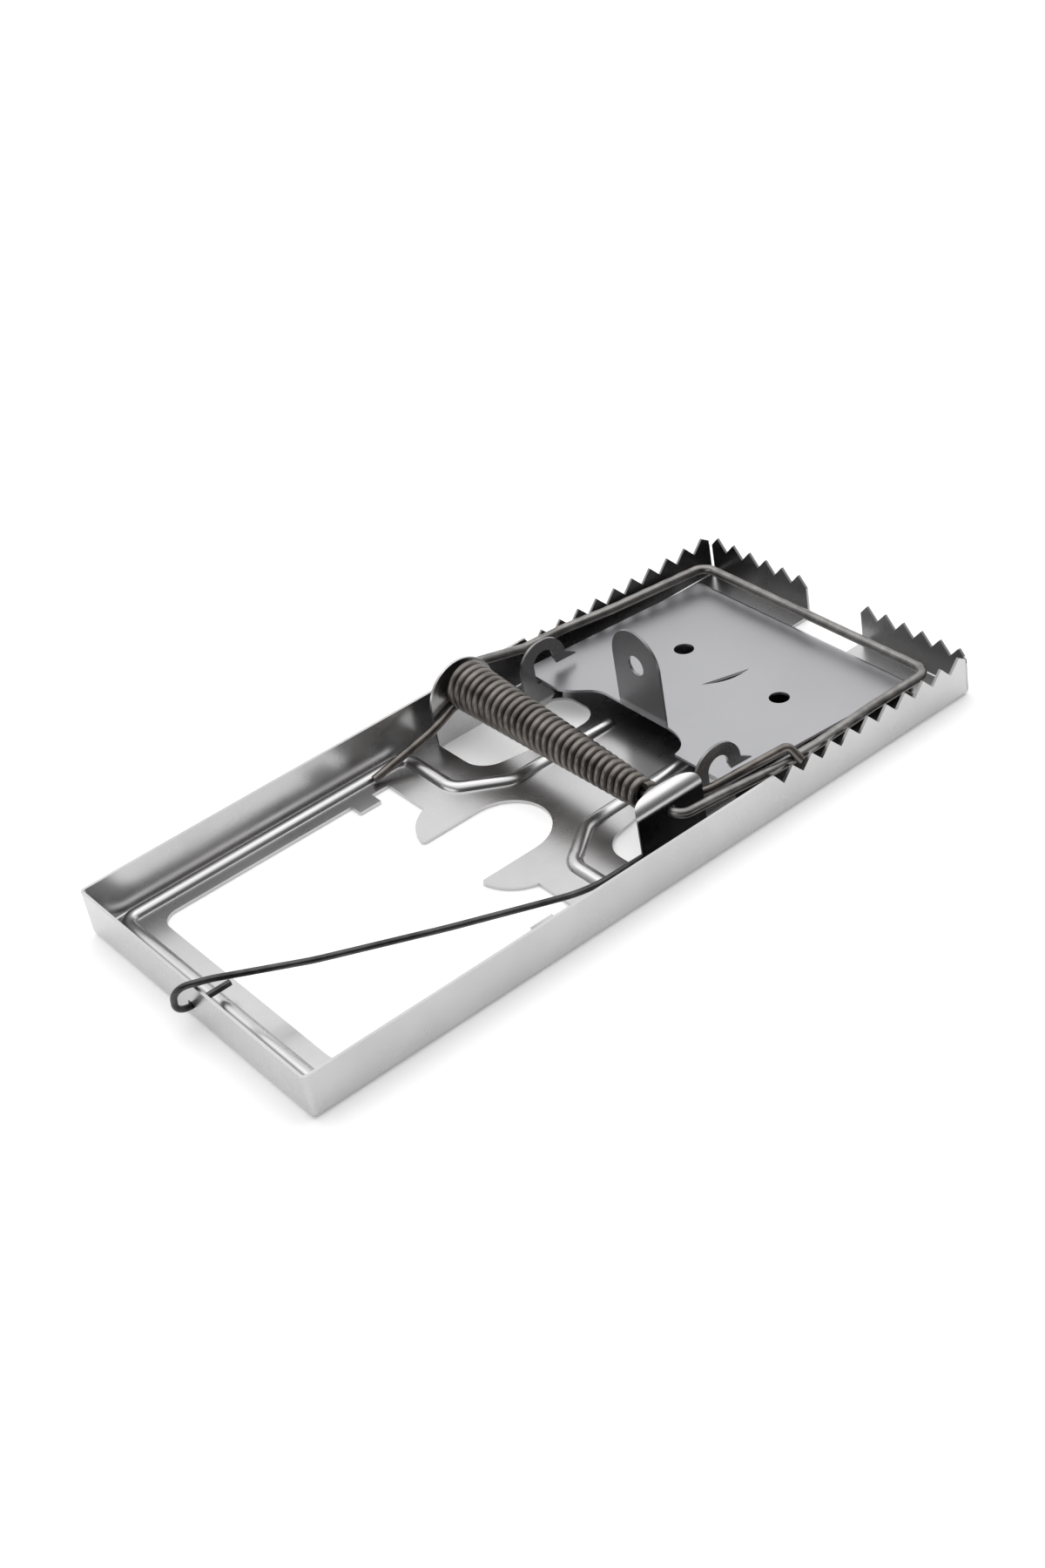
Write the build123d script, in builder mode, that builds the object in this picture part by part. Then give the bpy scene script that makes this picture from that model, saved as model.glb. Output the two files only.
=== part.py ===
"""All-metal snap rat trap: folded sheet tray, wire hammer with torsion spring, pedal and lock bar.

Millimetres. The origin is on the floor plane, under the middle of the hammer's axle.
+X runs along the tray to its toothed end, +Y to the side away from the lock bar, +Z up.
"""

import os
from math import atan2, cos, degrees, radians, sin

from build123d import *

# Tray sheet
LENGTH = 175.0
WIDTH = 81.6
WALL_HEIGHT = 10.4
SHEET = 0.65
PLAIN_END_X = -96.0
TOOTH_END_X = PLAIN_END_X + LENGTH
MIDDLE_X = PLAIN_END_X + LENGTH / 2
HALF_WIDTH = WIDTH / 2
CORNER_RADIUS = 1.2
BEND_RADIUS = 1.5
FAR_RIM_Z = 11.1
TOP = FAR_RIM_Z + 1

# Teeth in the rim
SIDE_TOOTH_PITCH = 5.45
SIDE_TOOTH_COUNT = 10
SIDE_TOOTH_LAST_X = 75.9
FAR_TIP_Z = 10.8
END_TIP_Z = 10.55
END_TOOTH_PITCH = 5.43
END_TOOTH_FIRST = 2
END_TOOTH_LAST = 7
END_TOOTH_SHIFT = -0.35
TOOTH_DEPTH = 3.0
TOOTH_CUT = 1.1
END_GAP_Y = (-9.2, 8.1)
END_GAP_X = 73.0
CORNER_SLIT = 0.6

# Floor openings and stiffening bead
WINDOW_LEFT_X = -84.3
WINDOW_RIGHT_X = -25.0
WINDOW_HALF = 32.6
WINDOW_CORNER = 4.0
TAB_X = (-35.0, -29.5)
TAB_REACH = 3.4
PRONG_TIP_X = -32.4
NOTCH_HALF = 9.9
NOTCH_CENTRE_X = -18.0
BEAD_HEIGHT = 1.3
BEAD_RADIUS = 1.9
BEAD_END = (21.0, 11.9)

# Axle, hammer wire and ears
AXLE_Z = 11.2
HAMMER_WIRE = 2.2
AXLE_CLEARANCE = 0.08
EAR_NEAR_Y = -33.8
EAR_FAR_Y = 35.5
EAR_HALF = 8.6
EAR_TOP_Z = 16.0
FAR_EAR_TOP_Z = 18.5
HOOD_REACH = 3.3
CROSSBAR_X = 71.2
CROSSBAR_Z = 7.65
GOOSENECK_RISE = 2.6

# Torsion spring
SPRING_WIRE = 1.9
COIL_TURNS = 29.5
COIL_NEAR = (0.0, -26.3, 11.2)
COIL_FAR = (0.1, 33.95, 13.3)
COIL_NEAR_RADIUS = 2.4
COIL_FAR_RADIUS = 4.75
LEG_TURN_Y = -28.55
FLOOR_LEG_BEND = (-10.0, 34.2, 6.2)
FLOOR_LEG_TIP = (-26.6, 35.3, 1.75)

# Pedal
PEDAL_SHEET = 0.6
PEDAL_LEFT_X = 16.5
PEDAL_RIGHT_X = 70.7
PEDAL_NEAR_Y = -31.9
PEDAL_FAR_Y = 35.1
PEDAL_LEFT_Z = 7.6
PEDAL_SLOPE = 4.0
PEDAL_LIP_Z = 0.95
PEDAL_LIP_RADIUS = 1.8
BAIT_HOLE_X = 46.7
BAIT_HOLE_Y = -0.4
BAIT_HOLE_HALF = 15.35
BAIT_HOLE_RADIUS = 2.3
CATCH_X = 22.7
CATCH_Y = 1.1
CATCH_HALF = 7.5
CATCH_TOP_Z = 28.0
CATCH_HOLE_Z = 19.6
CATCH_HOLE_RADIUS = 2.4
LOUVRE_REACH = 28.3
LOUVRE_Y = -0.7
LOUVRE_HALF = 5.9
LOUVRE_DEPTH = 1.5
LOUVRE_SHEET = 0.4
LOUVRE_TURN = -13.7
LOUVRE_TRIM = 0.2

# Pedal hooks
HOOK_Y = 29.9
HOOK_FAR_SHIFT = 2.4
HOOK_TOP_Z = 16.3
HOOK_SEAT_Z = 6.3
HOOK_STROKE = 3.4

# Lock bar
LOCK_WIRE = 1.4
LOCK_HOLE_RADIUS = 1.25
LOCK_HOLE_Z = 4.0
LOCK_TOP_Z = 11.75
LOCK_LOOP_X = -99.6
LOCK_LOOP_RADIUS = 3.5


def wire_along(points, radii, diameter):
    """Round wire along straight runs joined by tangent arcs."""
    with BuildPart() as wire:
        with BuildLine() as path:
            FilletPolyline(*points, radius=radii)
        start = path.line @ 0
        heading = path.line % 0
        with BuildSketch(Plane(origin=start, z_dir=heading)):
            Circle(diameter / 2)
        sweep(path=path.line, transition=Transition.ROUND)
    return wire.part


def louvre_lens(plane, wall):
    """Half lens beside the louvre's slit, grown by the thickness of its wall."""
    half = LOUVRE_HALF + wall
    with BuildSketch(plane) as outline:
        with BuildLine():
            Line((-half, 0), (half, 0))
            ThreePointArc((-half, 0), (0, -LOUVRE_DEPTH - wall), (half, 0))
        make_face()
    return outline.sketch


def export(part, label):
    """Name one finished piece and write it."""
    part.label = label
    export_step(part, f"parts/{label}.step")


os.makedirs("parts", exist_ok=True)

# ---------------------------------------------------------------- base tray
bead_side = HALF_WIDTH - 2.8
bead_left_x = PLAIN_END_X + 6.0
bead_bridge_x = -16.5
bead_half_points = [
    BEAD_END,
    (-6.0, 12.4),
    (bead_bridge_x, 20.2),
    (bead_bridge_x, bead_side),
    (bead_left_x, bead_side),
]
bead_points = bead_half_points + [(x, -y) for x, y in reversed(bead_half_points)]
bead_z = SHEET + BEAD_HEIGHT - BEAD_RADIUS
bead_corner_radii = [6.0, 5.0, 3.2, 3.2, 3.2, 3.2, 5.0, 6.0]


def bead_rod(radius):
    """Round rod along the bead's middle line, the bead's outer or inner form."""
    with BuildPart() as rod:
        with BuildLine() as path:
            FilletPolyline(*[(x, y, bead_z) for x, y in bead_points], radius=bead_corner_radii)
        with BuildSketch(Plane(origin=path.line @ 0, z_dir=path.line % 0)):
            Circle(radius)
        sweep(path=path.line)
    return rod.part


# Near ear: a tongue folded up and rolled inward over the axle
hood_radius = 2.9
hood_centre_y = EAR_NEAR_Y + hood_radius
hood_centre_z = EAR_TOP_Z - hood_radius
hood_lip_y = EAR_NEAR_Y + HOOD_REACH
ear_inner_y = EAR_NEAR_Y + SHEET
with BuildPart() as near_ear:
    with BuildSketch(Plane.YZ):
        with BuildLine():
            Line((EAR_NEAR_Y, 0), (EAR_NEAR_Y, hood_centre_z))
            RadiusArc((EAR_NEAR_Y, hood_centre_z), (hood_centre_y, EAR_TOP_Z), hood_radius)
            Line((hood_centre_y, EAR_TOP_Z), (hood_lip_y, EAR_TOP_Z))
            Line((hood_lip_y, EAR_TOP_Z), (hood_lip_y, EAR_TOP_Z - SHEET))
            Line((hood_lip_y, EAR_TOP_Z - SHEET), (hood_centre_y, EAR_TOP_Z - SHEET))
            RadiusArc(
                (hood_centre_y, EAR_TOP_Z - SHEET),
                (ear_inner_y, hood_centre_z),
                -(hood_radius - SHEET),
            )
            Line((ear_inner_y, hood_centre_z), (ear_inner_y, 0))
            Line((ear_inner_y, 0), (EAR_NEAR_Y, 0))
        make_face()
    extrude(amount=EAR_HALF, both=True)
    with BuildSketch(Plane.XY.offset(-1)):
        with Locations((0, EAR_NEAR_Y)):
            Ellipse(EAR_HALF, HOOD_REACH)
    extrude(amount=EAR_TOP_Z + 2, mode=Mode.INTERSECT)

with BuildPart() as base_tray:
    # Folded box: floor with four walls, a little taller along the far side
    with BuildSketch():
        with Locations((MIDDLE_X, 0)):
            Rectangle(LENGTH, WIDTH)
        fillet(vertices(), CORNER_RADIUS)
    extrude(amount=FAR_RIM_Z)
    fillet(faces().sort_by(Axis.Z)[0].edges(), BEND_RADIUS - 0.35)
    offset(amount=-SHEET, openings=faces().sort_by(Axis.Z)[-1])
    with BuildSketch(Plane.YZ.offset(MIDDLE_X)):
        with BuildLine():
            Polyline(
                (-HALF_WIDTH, WALL_HEIGHT),
                (HALF_WIDTH, FAR_RIM_Z),
                (HALF_WIDTH, TOP),
                (-HALF_WIDTH, TOP),
                (-HALF_WIDTH, WALL_HEIGHT),
            )
        make_face()
    extrude(amount=LENGTH, both=True, mode=Mode.SUBTRACT)

    # Raised bead, hollow from below
    add(bead_rod(BEAD_RADIUS))
    with Locations((BEAD_END[0], BEAD_END[1], bead_z), (BEAD_END[0], -BEAD_END[1], bead_z)):
        Sphere(BEAD_RADIUS)
    with Locations((MIDDLE_X, 0, -5.0)):
        Box(LENGTH + 10, WIDTH + 10, 10.0, mode=Mode.SUBTRACT)
    add(bead_rod(BEAD_RADIUS - SHEET), mode=Mode.SUBTRACT)

    # Main window, with its locating tabs, prongs and round notch
    with BuildSketch():
        with BuildLine():
            Polyline(
                (WINDOW_RIGHT_X, 19.5),
                (WINDOW_RIGHT_X, WINDOW_HALF),
                (TAB_X[1], WINDOW_HALF),
                (TAB_X[1], WINDOW_HALF - TAB_REACH),
                (TAB_X[0], WINDOW_HALF - TAB_REACH),
                (TAB_X[0], WINDOW_HALF),
                (WINDOW_LEFT_X, WINDOW_HALF),
                (WINDOW_LEFT_X, 0),
            )
            Spline((WINDOW_RIGHT_X, 19.5), (-29.8, 16.2), (PRONG_TIP_X, NOTCH_HALF + 0.6))
            Line((PRONG_TIP_X, NOTCH_HALF + 0.6), (PRONG_TIP_X + 0.6, NOTCH_HALF))
            Line((PRONG_TIP_X + 0.6, NOTCH_HALF), (NOTCH_CENTRE_X, NOTCH_HALF))
            ThreePointArc(
                (NOTCH_CENTRE_X, NOTCH_HALF),
                (NOTCH_CENTRE_X + NOTCH_HALF * cos(radians(45)), NOTCH_HALF * sin(radians(45))),
                (NOTCH_CENTRE_X + NOTCH_HALF, 0),
            )
            Line((NOTCH_CENTRE_X + NOTCH_HALF, 0), (WINDOW_LEFT_X, 0))
        make_face()
        mirror(about=Plane.XZ)
        fillet(vertices().group_by(Axis.X)[0], WINDOW_CORNER)
    extrude(amount=SHEET * 2, both=True, mode=Mode.SUBTRACT)

    # Bridge windows, which the ears and hooks are lanced from
    for side, ear_y in ((1, EAR_FAR_Y), (-1, -EAR_NEAR_Y - SHEET)):
        with BuildSketch():
            with BuildLine():
                Polyline(
                    (-EAR_HALF, ear_y * side),
                    (EAR_HALF + 1.0, ear_y * side),
                    (EAR_HALF + 1.0, HOOK_Y * side),
                    (22.0, HOOK_Y * side),
                    (22.0, 16.4 * side),
                    (14.0, 16.4 * side),
                    (-EAR_HALF, 20.4 * side),
                    (-EAR_HALF, ear_y * side),
                )
            make_face()
            fillet(vertices().group_by(Axis.X)[-1], 5.0)
            fillet(vertices().group_by(Axis.X)[0].sort_by(Axis.Y)[0 if side > 0 else -1], 6.5)
        extrude(amount=SHEET * 2, both=True, mode=Mode.SUBTRACT)

    # Striking teeth along both sides of the rim
    first_tip = SIDE_TOOTH_LAST_X - SIDE_TOOTH_PITCH * (SIDE_TOOTH_COUNT - 1)
    for side, tip_z in ((1, FAR_TIP_Z), (-1, WALL_HEIGHT)):
        valley_z = tip_z - TOOTH_DEPTH
        with BuildSketch(Plane.XZ.offset(-HALF_WIDTH * side)):
            for index in range(SIDE_TOOTH_COUNT - 1):
                tip = first_tip + index * SIDE_TOOTH_PITCH
                with BuildLine():
                    Polyline(
                        (tip, tip_z),
                        (tip + SIDE_TOOTH_PITCH / 2, valley_z),
                        (tip + SIDE_TOOTH_PITCH, tip_z),
                        (tip + SIDE_TOOTH_PITCH, TOP),
                        (tip, TOP),
                        (tip, tip_z),
                    )
                make_face()
            with BuildLine():
                Polyline(
                    (first_tip - 5.0, tip_z),
                    (first_tip - SIDE_TOOTH_PITCH / 2, valley_z),
                    (first_tip, tip_z),
                    (first_tip, TOP),
                    (first_tip - 5.0, TOP),
                    (first_tip - 5.0, tip_z),
                )
            make_face()
            with BuildLine():
                Polyline(
                    (SIDE_TOOTH_LAST_X, tip_z),
                    (TOOTH_END_X + 1, tip_z - TOOTH_DEPTH * 0.9),
                    (TOOTH_END_X + 1, TOP),
                    (SIDE_TOOTH_LAST_X, TOP),
                    (SIDE_TOOTH_LAST_X, tip_z),
                )
            make_face()
        extrude(amount=TOOTH_CUT, both=True, mode=Mode.SUBTRACT)

    # Striking teeth of the end wall, on both sides of its open middle
    with BuildSketch(Plane.YZ.offset(TOOTH_END_X)):
        for side in (1, -1):
            for index in range(END_TOOTH_FIRST - 1, END_TOOTH_LAST + 1):
                tip = index * END_TOOTH_PITCH * side + END_TOOTH_SHIFT
                outer = tip + END_TOOTH_PITCH * side
                with BuildLine():
                    Polyline(
                        (tip, END_TIP_Z),
                        (tip + END_TOOTH_PITCH / 2 * side, END_TIP_Z - TOOTH_DEPTH),
                        (outer, END_TIP_Z),
                        (outer, TOP),
                        (tip, TOP),
                        (tip, END_TIP_Z),
                    )
                make_face()
    extrude(amount=TOOTH_CUT, both=True, mode=Mode.SUBTRACT)
    with BuildSketch():
        with Locations((TOOTH_END_X, sum(END_GAP_Y) / 2)):
            Rectangle((TOOTH_END_X - END_GAP_X) * 2, END_GAP_Y[1] - END_GAP_Y[0])
    extrude(amount=TOP, both=True, mode=Mode.SUBTRACT)

    # Relief slits at the toothed corners
    for side in (1, -1):
        with BuildSketch(Plane.XY.offset(SHEET + 1.2)):
            with Locations((TOOTH_END_X, HALF_WIDTH * side)):
                Rectangle(2.4 * CORNER_RADIUS, CORNER_SLIT, rotation=45 * side)
        extrude(amount=TOP, mode=Mode.SUBTRACT)

    # Near ear
    add(near_ear.part)

    # Far ear: a plain upright lug with a round top
    with BuildSketch(Plane.XZ.offset(-EAR_FAR_Y)):
        with Locations((0, (FAR_EAR_TOP_Z - EAR_HALF) / 2)):
            Rectangle(EAR_HALF * 2, FAR_EAR_TOP_Z - EAR_HALF)
        with Locations((0, FAR_EAR_TOP_Z - EAR_HALF)):
            Circle(EAR_HALF)
    extrude(amount=-SHEET)

    # Axle hole through both ears
    with BuildSketch(Plane.XZ):
        with Locations((0, AXLE_Z)):
            Circle(HAMMER_WIRE / 2 + AXLE_CLEARANCE)
    extrude(amount=HALF_WIDTH - 1, both=True, mode=Mode.SUBTRACT)

    # Pedal hooks: a wide root with a seat, an arched neck and a barb that points over the pedal
    for side, shift in ((1, HOOK_FAR_SHIFT), (-1, 0.0)):
        left = 9.7 + shift
        inner = left + HOOK_STROKE + 0.3
        arch = inner + 2.8
        right = inner + 5.5
        with BuildSketch(Plane.XZ.offset(-HOOK_Y * side - SHEET / 2)):
            with BuildLine():
                Line((left, 0), (left, 10.2))
                ThreePointArc((left, 10.2), (left + 1.9, 14.6), (arch, HOOK_TOP_Z))
                ThreePointArc((arch, HOOK_TOP_Z), (right + 1.6, 14.8), (right + HOOK_STROKE, 10.4))
                Line((right + HOOK_STROKE, 10.4), (right + HOOK_STROKE + 3.0, 8.6))
                Line((right + HOOK_STROKE + 3.0, 8.6), (right + 0.6, 8.9))
                Line((right + 0.6, 8.9), (right, 10.4))
                ThreePointArc((right, 10.4), (right - 0.6, 12.8), (arch, 13.6))
                ThreePointArc((arch, 13.6), (inner + 0.7, 12.6), (inner, 10.2))
                Line((inner, 10.2), (inner, HOOK_SEAT_Z))
                Line((inner, HOOK_SEAT_Z), (right, HOOK_SEAT_Z))
                Line((right, HOOK_SEAT_Z), (right + 1.0, 0))
                Line((right + 1.0, 0), (left, 0))
            make_face()
        extrude(amount=SHEET)

    # Lock bar hole in the plain end wall
    with BuildSketch(Plane.YZ.offset(PLAIN_END_X)):
        with Locations((0, LOCK_HOLE_Z)):
            Circle(LOCK_HOLE_RADIUS)
    extrude(amount=SHEET * 2, both=True, mode=Mode.SUBTRACT)
export(base_tray.part, "base_tray")

# ---------------------------------------------------------------- hammer
hammer_fall = (AXLE_Z - CROSSBAR_Z) / CROSSBAR_X
near_arm = [(0.0, -36.6), (9.0, -37.1), (24.0, -38.5), (36.0, -38.4), (54.0, -36.8), (CROSSBAR_X, -36.2)]
far_arm = [(CROSSBAR_X, 34.6), (44.0, 36.4), (31.0, 38.2), (20.0, 38.4)]
hammer_points = [(0, -1.0, AXLE_Z)]
hammer_points += [(x, y, AXLE_Z - hammer_fall * x) for x, y in near_arm]
hammer_points += [(x, y, AXLE_Z - hammer_fall * x) for x, y in far_arm]
hammer_points += [(6.5, 38.1, AXLE_Z + GOOSENECK_RISE), (0.0, 38.1, AXLE_Z), (0, 1.0, AXLE_Z)]
hammer_radii = [2.7, 12.0, 15.0, 20.0, 20.0, 3.5, 3.5, 12.0, 12.0, 6.0, 2.6, 1.9]
hammer = wire_along(hammer_points, hammer_radii, HAMMER_WIRE)
export(hammer, "hammer")

# ---------------------------------------------------------------- torsion spring
coil_run = Vector(*COIL_FAR) - Vector(*COIL_NEAR)
coil_cone = degrees(atan2(COIL_FAR_RADIUS - COIL_NEAR_RADIUS, coil_run.length))
with BuildPart() as spring_coil:
    with BuildLine() as turns:
        Helix(
            coil_run.length / COIL_TURNS,
            coil_run.length,
            COIL_NEAR_RADIUS,
            center=COIL_NEAR,
            direction=coil_run,
            cone_angle=coil_cone,
        )
    with BuildSketch(Plane(origin=turns.line @ 0, z_dir=turns.line % 0)):
        Circle(SPRING_WIRE / 2)
    sweep(path=turns.line, is_frenet=True)

    # Leg that braces the far end on the floor
    coil_end = turns.line @ 1
    coil_end_heading = turns.line % 1
    with BuildLine() as floor_leg:
        FilletPolyline(
            coil_end,
            coil_end + coil_end_heading * 3.0,
            FLOOR_LEG_BEND,
            FLOOR_LEG_TIP,
            radius=[5.0, 30.0],
        )
    with BuildSketch(Plane(origin=coil_end, z_dir=coil_end_heading)):
        Circle(SPRING_WIRE / 2)
    sweep(path=floor_leg.line)
export(spring_coil.part, "spring_coil")

# Last turn and leg that press the hammer's near arm down
leg_turn_z = AXLE_Z - COIL_NEAR_RADIUS
leg_start = radians(40)
with BuildPart() as spring_hammer_leg:
    with BuildLine() as leg_path:
        ThreePointArc(
            (COIL_NEAR_RADIUS * cos(leg_start), LEG_TURN_Y, AXLE_Z + COIL_NEAR_RADIUS * sin(leg_start)),
            (-COIL_NEAR_RADIUS, LEG_TURN_Y, AXLE_Z),
            (0, LEG_TURN_Y, leg_turn_z),
        )
        FilletPolyline(
            (0, LEG_TURN_Y, leg_turn_z),
            (5.0, LEG_TURN_Y, leg_turn_z),
            (11.0, -32.4, 9.4),
            (28.2, -38.3, 13.3),
            (29.6, -40.6, 9.9),
            radius=[5.0, 12.0, 1.5],
        )
    with BuildSketch(Plane(origin=leg_path.line @ 0, z_dir=leg_path.line % 0)):
        Circle(SPRING_WIRE / 2)
    sweep(path=leg_path.line)
export(spring_hammer_leg.part, "spring_hammer_leg")

# ---------------------------------------------------------------- pedal
slope_x = cos(radians(PEDAL_SLOPE))
slope_z = sin(radians(PEDAL_SLOPE))
pedal_plane = Plane(
    origin=(PEDAL_LEFT_X, 0, PEDAL_LEFT_Z),
    x_dir=(slope_x, 0, -slope_z),
    z_dir=(slope_z, 0, slope_x),
)
pedal_length = (PEDAL_RIGHT_X - PEDAL_LEFT_X) / slope_x
flat_length = pedal_length - PEDAL_LIP_RADIUS
with BuildPart() as pedal:
    # Plate with the swept-back front edge that leaves the catch tab free
    with BuildSketch(pedal_plane):
        with BuildLine():
            Line((0.2, PEDAL_FAR_Y), (0, 23.0))
            Spline((0, 23.0), (3.2, 18.6), (6.0, 13.8), tangents=((0.4, -1.0), (0.05, -1.0)))
            Line((6.0, 13.8), (6.0, -5.8))
            Spline((6.0, -5.8), (4.6, -12.4), (0, -15.8), tangents=((0, -1.0), (-1.0, -0.15)))
            Line((0, -15.8), (0, PEDAL_NEAR_Y))
            Line((0, PEDAL_NEAR_Y), (flat_length, PEDAL_NEAR_Y))
            Line((flat_length, PEDAL_NEAR_Y), (flat_length, PEDAL_FAR_Y))
            Line((flat_length, PEDAL_FAR_Y), (0.2, PEDAL_FAR_Y))
        make_face()
    extrude(amount=-PEDAL_SHEET)

    # Lip rolled down along the striking edge
    with BuildSketch(Plane.XZ.offset(-PEDAL_FAR_Y)):
        flat_x = PEDAL_LEFT_X + flat_length * slope_x
        flat_z = PEDAL_LEFT_Z - flat_length * slope_z
        lip_top = flat_z - PEDAL_LIP_RADIUS
        overlap_x = flat_x - PEDAL_SHEET * slope_x
        overlap_z = flat_z + PEDAL_SHEET * slope_z
        with BuildLine():
            Line((flat_x, flat_z - PEDAL_SHEET), (overlap_x, overlap_z - PEDAL_SHEET))
            Line((overlap_x, overlap_z - PEDAL_SHEET), (overlap_x, overlap_z))
            Line((overlap_x, overlap_z), (flat_x, flat_z))
            RadiusArc((flat_x, flat_z), (PEDAL_RIGHT_X, lip_top), PEDAL_LIP_RADIUS)
            Line((PEDAL_RIGHT_X, lip_top), (PEDAL_RIGHT_X, PEDAL_LIP_Z))
            Line((PEDAL_RIGHT_X, PEDAL_LIP_Z), (PEDAL_RIGHT_X - PEDAL_SHEET, PEDAL_LIP_Z))
            Line((PEDAL_RIGHT_X - PEDAL_SHEET, PEDAL_LIP_Z), (PEDAL_RIGHT_X - PEDAL_SHEET, lip_top))
            RadiusArc(
                (PEDAL_RIGHT_X - PEDAL_SHEET, lip_top),
                (flat_x, flat_z - PEDAL_SHEET),
                -(PEDAL_LIP_RADIUS - PEDAL_SHEET),
            )
        make_face()
    extrude(amount=PEDAL_FAR_Y - PEDAL_NEAR_Y)

    # Catch tab, bent up from the front edge
    catch_centre_z = CATCH_TOP_Z - CATCH_HALF
    with BuildSketch(Plane.YZ.offset(CATCH_X - PEDAL_SHEET / 2)):
        with Locations((CATCH_Y, (PEDAL_LEFT_Z - 1.0 + catch_centre_z) / 2)):
            Rectangle(CATCH_HALF * 2, catch_centre_z - PEDAL_LEFT_Z + 1.0)
        with Locations((CATCH_Y, catch_centre_z)):
            Circle(CATCH_HALF)
        with Locations((CATCH_Y, CATCH_HOLE_Z)):
            Circle(CATCH_HOLE_RADIUS, mode=Mode.SUBTRACT)
    extrude(amount=PEDAL_SHEET)

    # Bait holes
    with BuildSketch(pedal_plane):
        with Locations(
            (BAIT_HOLE_X - PEDAL_LEFT_X, BAIT_HOLE_Y + BAIT_HOLE_HALF),
            (BAIT_HOLE_X - PEDAL_LEFT_X, BAIT_HOLE_Y - BAIT_HOLE_HALF),
        ):
            Circle(BAIT_HOLE_RADIUS)
    extrude(amount=PEDAL_SHEET * 2, both=True, mode=Mode.SUBTRACT)

    # Louvre between the holes: a slit with its near side pressed down
    louvre_origin = pedal_plane.from_local_coords((LOUVRE_REACH, LOUVRE_Y, 0))
    unturned_plane = Plane(louvre_origin, x_dir=pedal_plane.x_dir, z_dir=pedal_plane.z_dir)
    louvre_plane = unturned_plane.rotated((0, 0, LOUVRE_TURN))
    louvre_axis = Axis(louvre_origin, louvre_plane.x_dir)
    louvre_outer = louvre_lens(louvre_plane, LOUVRE_SHEET)
    louvre_inner = louvre_lens(louvre_plane, 0)
    revolve(louvre_outer, axis=louvre_axis, revolution_arc=90)
    revolve(louvre_inner, axis=louvre_axis, revolution_arc=90, mode=Mode.SUBTRACT)
    extrude(louvre_inner, amount=LOUVRE_TRIM, both=True, mode=Mode.SUBTRACT)
export(pedal.part, "pedal")

# ---------------------------------------------------------------- lock bar
lock_points = [
    (-87.0, 0, LOCK_HOLE_Z),
    (LOCK_LOOP_X, 0, LOCK_HOLE_Z),
    (LOCK_LOOP_X, -1.9, LOCK_TOP_Z),
    (-92.5, -4.9, 11.45),
    (-74.0, -11.8, 7.9),
    (-48.6, -21.2, 4.9),
    (-22.0, -32.2, 3.4),
    (-6.0, -32.3, 3.2),
    (8.0, -31.7, 3.1),
]
lock_radii = [LOCK_LOOP_RADIUS, LOCK_LOOP_RADIUS, 12.0, 60.0, 80.0, 30.0, 60.0]
export(wire_along(lock_points, lock_radii, LOCK_WIRE), "lock_bar")
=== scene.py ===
"""Looks for the all-metal snap rat trap: finished steel, wires, a pale floor and soft studio light."""

import bpy
from mathutils import Matrix, Vector

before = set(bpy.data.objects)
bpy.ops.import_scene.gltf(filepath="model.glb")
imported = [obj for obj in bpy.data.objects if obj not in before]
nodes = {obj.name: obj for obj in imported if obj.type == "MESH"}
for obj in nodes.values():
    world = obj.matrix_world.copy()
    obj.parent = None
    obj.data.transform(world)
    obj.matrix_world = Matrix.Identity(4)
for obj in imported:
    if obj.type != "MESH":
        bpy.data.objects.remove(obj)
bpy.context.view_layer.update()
MM = 0.001
NOISE_ROUGHNESS = 0.6


# ---------------------------------------------------------------- materials
def new_material(name):
    """Material with a Principled shader, returned with its node tree and shader."""
    material = bpy.data.materials.new(name)
    material.use_nodes = True
    tree = material.node_tree
    return material, tree, tree.nodes["Principled BSDF"]


def add_node(tree, kind, **values):
    """Node of a kind, with its properties and input defaults set by name."""
    node = tree.nodes.new(kind)
    for key, value in values.items():
        if key in node.inputs:
            node.inputs[key].default_value = value
        else:
            setattr(node, key, value)
    return node


def stretched_noise(tree, stretch, scale, detail):
    """Noise in the part's own coordinates, drawn out along the axes where stretch is small."""
    coords = add_node(tree, "ShaderNodeTexCoord")
    mapping = add_node(tree, "ShaderNodeMapping")
    mapping.inputs["Scale"].default_value = stretch
    noise = add_node(tree, "ShaderNodeTexNoise", Scale=scale, Detail=detail, Roughness=NOISE_ROUGHNESS)
    tree.links.new(coords.outputs["Object"], mapping.inputs["Vector"])
    tree.links.new(mapping.outputs["Vector"], noise.inputs["Vector"])
    return noise.outputs["Fac"]


def ramp(tree, factor, stops):
    """Colour ramp from (position, colour) stops."""
    node = add_node(tree, "ShaderNodeValToRGB")
    elements = node.color_ramp.elements
    while len(elements) < len(stops):
        elements.new(0.5)
    for element, (position, colour) in zip(elements, stops):
        element.position = position
        element.color = colour if len(colour) == 4 else (*colour, 1)
    tree.links.new(factor, node.inputs["Fac"])
    return node.outputs["Color"]


def grey(value):
    """Neutral colour."""
    return (value, value, value)


def band(tree, value, low, high, soft=0.0006):
    """One where value lies between low and high, zero outside, with soft edges."""
    sides = []
    for edge, inward in ((low, soft), (high, -soft)):
        side = add_node(tree, "ShaderNodeMapRange")
        side.inputs["From Min"].default_value = edge - inward / 2
        side.inputs["From Max"].default_value = edge + inward / 2
        tree.links.new(value, side.inputs["Value"])
        sides.append(side.outputs["Result"])
    return combine(tree, "MULTIPLY", *sides)


def combine(tree, operation, first, second):
    """Math node over two values."""
    node = add_node(tree, "ShaderNodeMath", operation=operation)
    tree.links.new(first, node.inputs[0])
    tree.links.new(second, node.inputs[1])
    return node.outputs["Value"]


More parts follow.
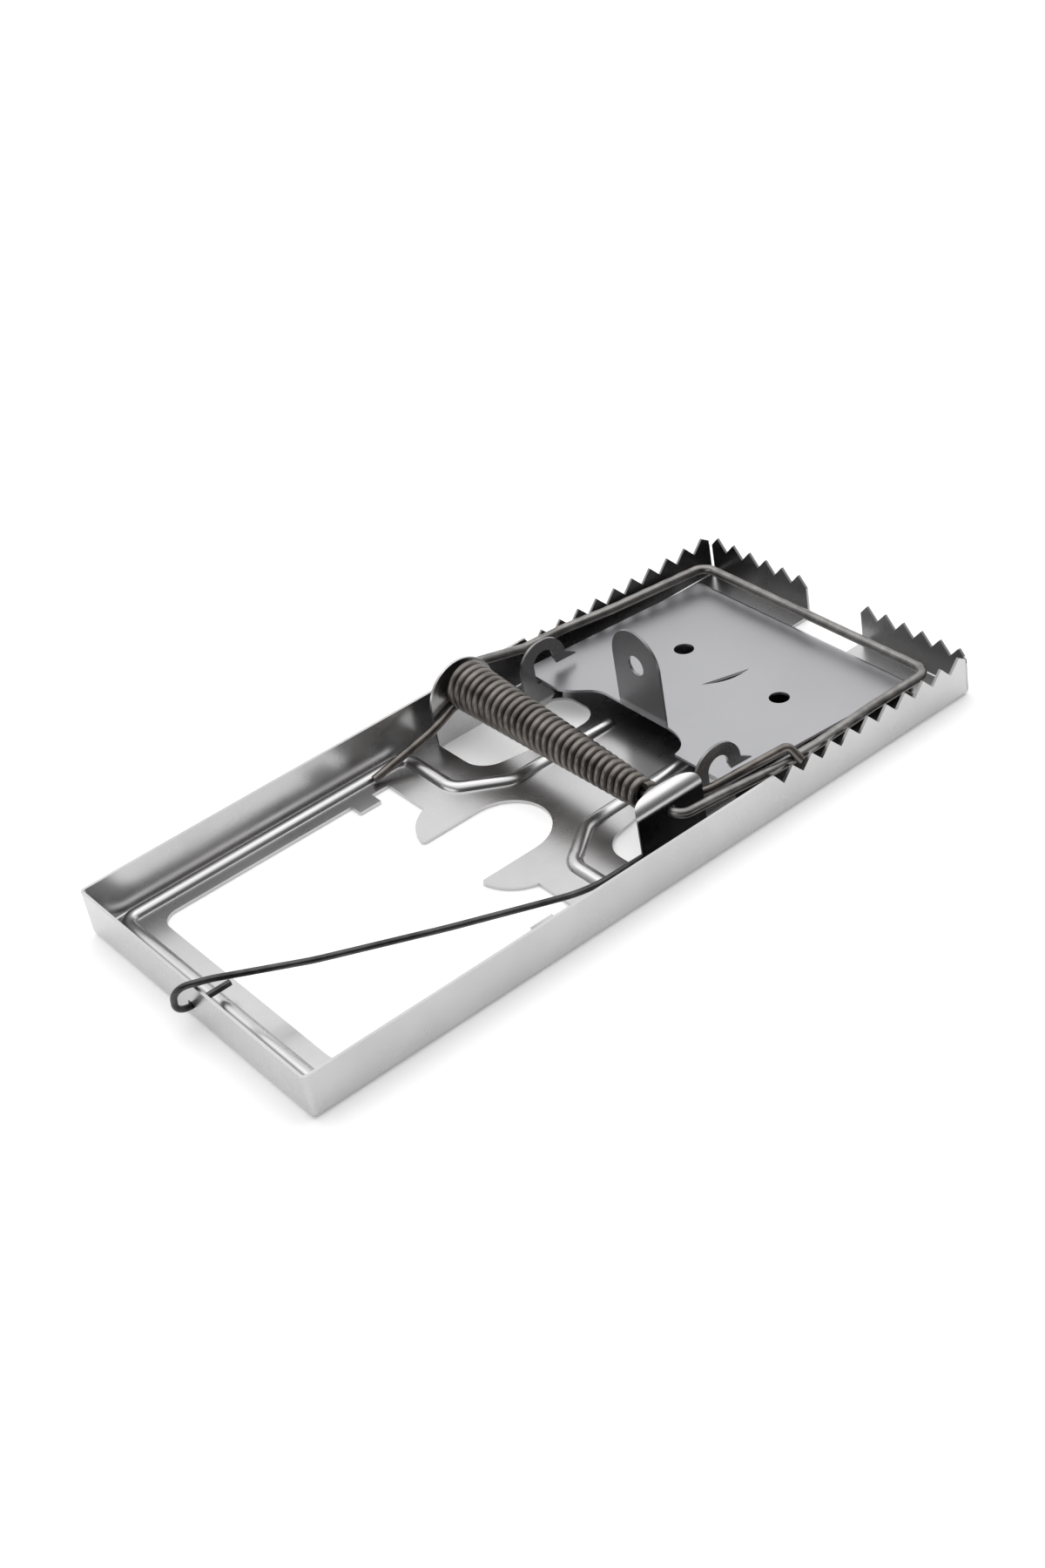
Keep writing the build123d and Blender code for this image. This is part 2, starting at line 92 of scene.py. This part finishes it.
def zone(tree, low, high, mirrored=False):
    """One inside a box of the part, given in millimetres, on both sides of the middle if mirrored."""
    coords = add_node(tree, "ShaderNodeTexCoord")
    parts = add_node(tree, "ShaderNodeSeparateXYZ")
    tree.links.new(coords.outputs["Object"], parts.inputs["Vector"])
    inside = None
    for axis, a, b in zip("XYZ", low, high):
        value = parts.outputs[axis]
        if axis == "Y" and mirrored:
            size = add_node(tree, "ShaderNodeMath", operation="ABSOLUTE")
            tree.links.new(value, size.inputs[0])
            value = size.outputs["Value"]
        within = band(tree, value, a * MM, b * MM)
        inside = within if inside is None else combine(tree, "MULTIPLY", inside, within)
    return inside


def sheet_steel(name, light, dark, gloss, painted_shade_zones=()):
    """Zinc-plated sheet: fine rolling lines, cloudy tone, faint smudges, and painted shade darkening the
    tone inside the zones.
    """
    material, tree, shader = new_material(name)
    clouds = stretched_noise(tree, (1, 1, 1), scale=34, detail=4)
    lines = stretched_noise(tree, (6, 240, 240), scale=10, detail=3)
    smudges = stretched_noise(tree, (1, 1.4, 1), scale=38, detail=5)
    tone = ramp(tree, clouds, [(0.3, dark), (0.7, light)])
    # Painted shade: inside each zone the tone is multiplied down to the share kept.
    for low, high, mirrored, shade_kept in painted_shade_zones:
        mix = add_node(tree, "ShaderNodeMixRGB", blend_type="MULTIPLY")
        mix.inputs["Color2"].default_value = (*grey(shade_kept), 1)
        tree.links.new(zone(tree, low, high, mirrored), mix.inputs["Fac"])
        tree.links.new(tone, mix.inputs["Color1"])
        tone = mix.outputs["Color"]
    tree.links.new(tone, shader.inputs["Base Color"])
    shader.inputs["Metallic"].default_value = 1.0
    rough = ramp(tree, smudges, [(0.3, grey(gloss - 0.03)), (0.7, grey(gloss + 0.05))])
    tree.links.new(rough, shader.inputs["Roughness"])
    bump = add_node(tree, "ShaderNodeBump", Strength=0.05, Distance=0.00004)
    tree.links.new(lines, bump.inputs["Height"])
    tree.links.new(bump.outputs["Normal"], shader.inputs["Normal"])
    return material


def wire_steel(name, light, dark, gloss):
    """Drawn wire: dark oxide with lighter rubbed patches."""
    material, tree, shader = new_material(name)
    patches = stretched_noise(tree, (1, 1, 1), scale=220, detail=5)
    grain = stretched_noise(tree, (1, 1, 1), scale=1600, detail=3)
    tone = ramp(tree, patches, [(0.35, dark), (0.7, light)])
    tree.links.new(tone, shader.inputs["Base Color"])
    shader.inputs["Metallic"].default_value = 1.0
    rough = ramp(tree, patches, [(0.3, grey(gloss)), (0.75, grey(gloss + 0.12))])
    tree.links.new(rough, shader.inputs["Roughness"])
    bump = add_node(tree, "ShaderNodeBump", Strength=0.12, Distance=0.00004)
    tree.links.new(grain, bump.inputs["Height"])
    tree.links.new(bump.outputs["Normal"], shader.inputs["Normal"])
    return material


# Boxes of painted shade in millimetres, darkening the steel's tone there: low corner, high corner,
# mirrored, share of the tone kept.
hook_zone = ((9.0, 29.0, 1.6), (27.5, 30.8, 17.0), True, 0.42)
near_ear_zone = ((-9.5, -34.3, 1.2), (9.5, -32.9, 13.2), False, 0.1)
far_teeth_zone = ((20.0, 39.7, 1.0), (79.5, 40.5, 19.0), False, 0.45)
end_teeth_zone = ((77.9, -41.0, 1.0), (78.7, 41.0, 13.0), False, 0.5)
catch_zone = ((21.0, -8.0, 8.4), (24.0, 10.0, 29.0), False, 0.5)
# The tray's hooks, near ear and toothed walls get painted shade from their zones.
tray_steel = sheet_steel(
    "tray_steel",
    light=(0.585, 0.58, 0.58),
    dark=(0.505, 0.50, 0.505),
    gloss=0.26,
    painted_shade_zones=[hook_zone, near_ear_zone, far_teeth_zone, end_teeth_zone],
)
# The pedal's catch tab gets painted shade from its zone.
pedal_steel = sheet_steel(
    "pedal_steel",
    light=(0.405, 0.405, 0.415),
    dark=(0.375, 0.375, 0.39),
    gloss=0.34,
    painted_shade_zones=[catch_zone],
)
hammer_steel = wire_steel("hammer_wire", light=(0.30, 0.29, 0.28), dark=(0.16, 0.155, 0.15), gloss=0.28)
spring_steel = wire_steel("spring_wire", light=(0.23, 0.212, 0.196), dark=(0.115, 0.105, 0.097), gloss=0.3)
lock_steel = wire_steel("lock_wire", light=(0.10, 0.10, 0.10), dark=(0.045, 0.045, 0.045), gloss=0.3)

finishes = {
    "base_tray": tray_steel,
    "pedal": pedal_steel,
    "hammer": hammer_steel,
    "spring_coil": spring_steel,
    "spring_hammer_leg": spring_steel,
    "lock_bar": lock_steel,
}
for node_name, finish in finishes.items():
    mesh = nodes[node_name].data
    mesh.materials.clear()
    mesh.materials.append(finish)

# ---------------------------------------------------------------- floor
FLOOR_HALF = 2.0
FLOOR_DROP = 0.0002  # keeps the tray's underside clear of the floor's plane
FLOOR_GLOW = 0.2  # lifts the paper to the photograph's plain white
floor_mesh = bpy.data.meshes.new("floor")
corners = [(x * FLOOR_HALF, y * FLOOR_HALF, 0) for x, y in ((-1, -1), (1, -1), (1, 1), (-1, 1))]
floor_mesh.from_pydata(corners, [], [(0, 1, 2, 3)])
floor = bpy.data.objects.new("floor", floor_mesh)
bpy.context.scene.collection.objects.link(floor)
floor_paint, floor_tree, floor_shader = new_material("floor_paper")
paper = stretched_noise(floor_tree, (1, 1, 1), scale=6, detail=3)
paper_tone = ramp(floor_tree, paper, [(0.3, grey(0.92)), (0.7, grey(0.95))])
floor_tree.links.new(paper_tone, floor_shader.inputs["Base Color"])
floor_shader.inputs["Roughness"].default_value = 0.9
floor_shader.inputs["Emission Color"].default_value = (1, 1, 1, 1)
floor_shader.inputs["Emission Strength"].default_value = FLOOR_GLOW
floor_mesh.materials.append(floor_paint)
floor.location.z = -FLOOR_DROP


# ---------------------------------------------------------------- light
BRIGHT_SIDE = Vector((0.55, 0.62, 0.45)).normalized()
SKY_STRENGTH = 1.25
TOP_PLACE, TOP_SIZE, TOP_POWER = (0.05, 0.1, 2.0), (3.2, 3.2), 28
LEFT_PLACE, LEFT_SIZE, LEFT_POWER = (-1.1, 0.15, 0.35), (1.0, 0.5), 2.5


def soft_box(name, place, size, power):
    """Large rectangular area light turned towards the part's origin."""
    lamp = bpy.data.lights.new(name, "AREA")
    lamp.shape = "RECTANGLE"
    lamp.size, lamp.size_y = size
    lamp.energy = power
    light = bpy.data.objects.new(name, lamp)
    light.location = place
    light.rotation_euler = (-Vector(place)).to_track_quat("-Z", "Y").to_euler()
    bpy.context.scene.collection.objects.link(light)


world = bpy.data.worlds.new("studio")
world.use_nodes = True
sky_tree = world.node_tree
background = sky_tree.nodes["Background"]
direction = add_node(sky_tree, "ShaderNodeTexCoord")
towards = add_node(sky_tree, "ShaderNodeVectorMath", operation="DOT_PRODUCT")
towards.inputs[1].default_value = BRIGHT_SIDE
spread = add_node(sky_tree, "ShaderNodeMapRange")
spread.inputs["From Min"].default_value = -1.0
sky_tree.links.new(direction.outputs["Generated"], towards.inputs[0])
sky_tree.links.new(towards.outputs["Value"], spread.inputs["Value"])
# Sky tone from the side away from the bright one (0) round to its middle (1).
sky_stops = ((0, 0.03), (0.3, 0.06), (0.5, 0.16), (0.64, 0.44), (0.76, 0.8), (0.86, 0.89), (1, 0.92))
sky = ramp(sky_tree, spread.outputs["Result"], [(at, grey(tone)) for at, tone in sky_stops])
sky_tree.links.new(sky, background.inputs["Color"])
background.inputs["Strength"].default_value = SKY_STRENGTH
bpy.context.scene.world = world
soft_box("top_box", TOP_PLACE, TOP_SIZE, TOP_POWER)
soft_box("left_box", LEFT_PLACE, LEFT_SIZE, LEFT_POWER)

# ---------------------------------------------------------------- camera
camera_data = bpy.data.cameras.new("camera")
camera_data.lens = 54.08
camera_data.sensor_width = 36.0
camera_data.clip_start = 0.01
camera = bpy.data.objects.new("camera", camera_data)
camera_place = Vector((-226.97, -336.14, 292.80)) * MM
camera_aim = Vector((-5.24, 10.33, 0.0)) * MM
camera_roll = -0.188
level = (camera_aim - camera_place).to_track_quat("-Z", "Y").to_matrix()
camera.matrix_world = Matrix.Translation(camera_place) @ (
    level @ Matrix.Rotation(camera_roll, 3, "Z")
).to_4x4()
bpy.context.scene.collection.objects.link(camera)
bpy.context.scene.camera = camera
bpy.context.scene.view_settings.view_transform = "Standard"
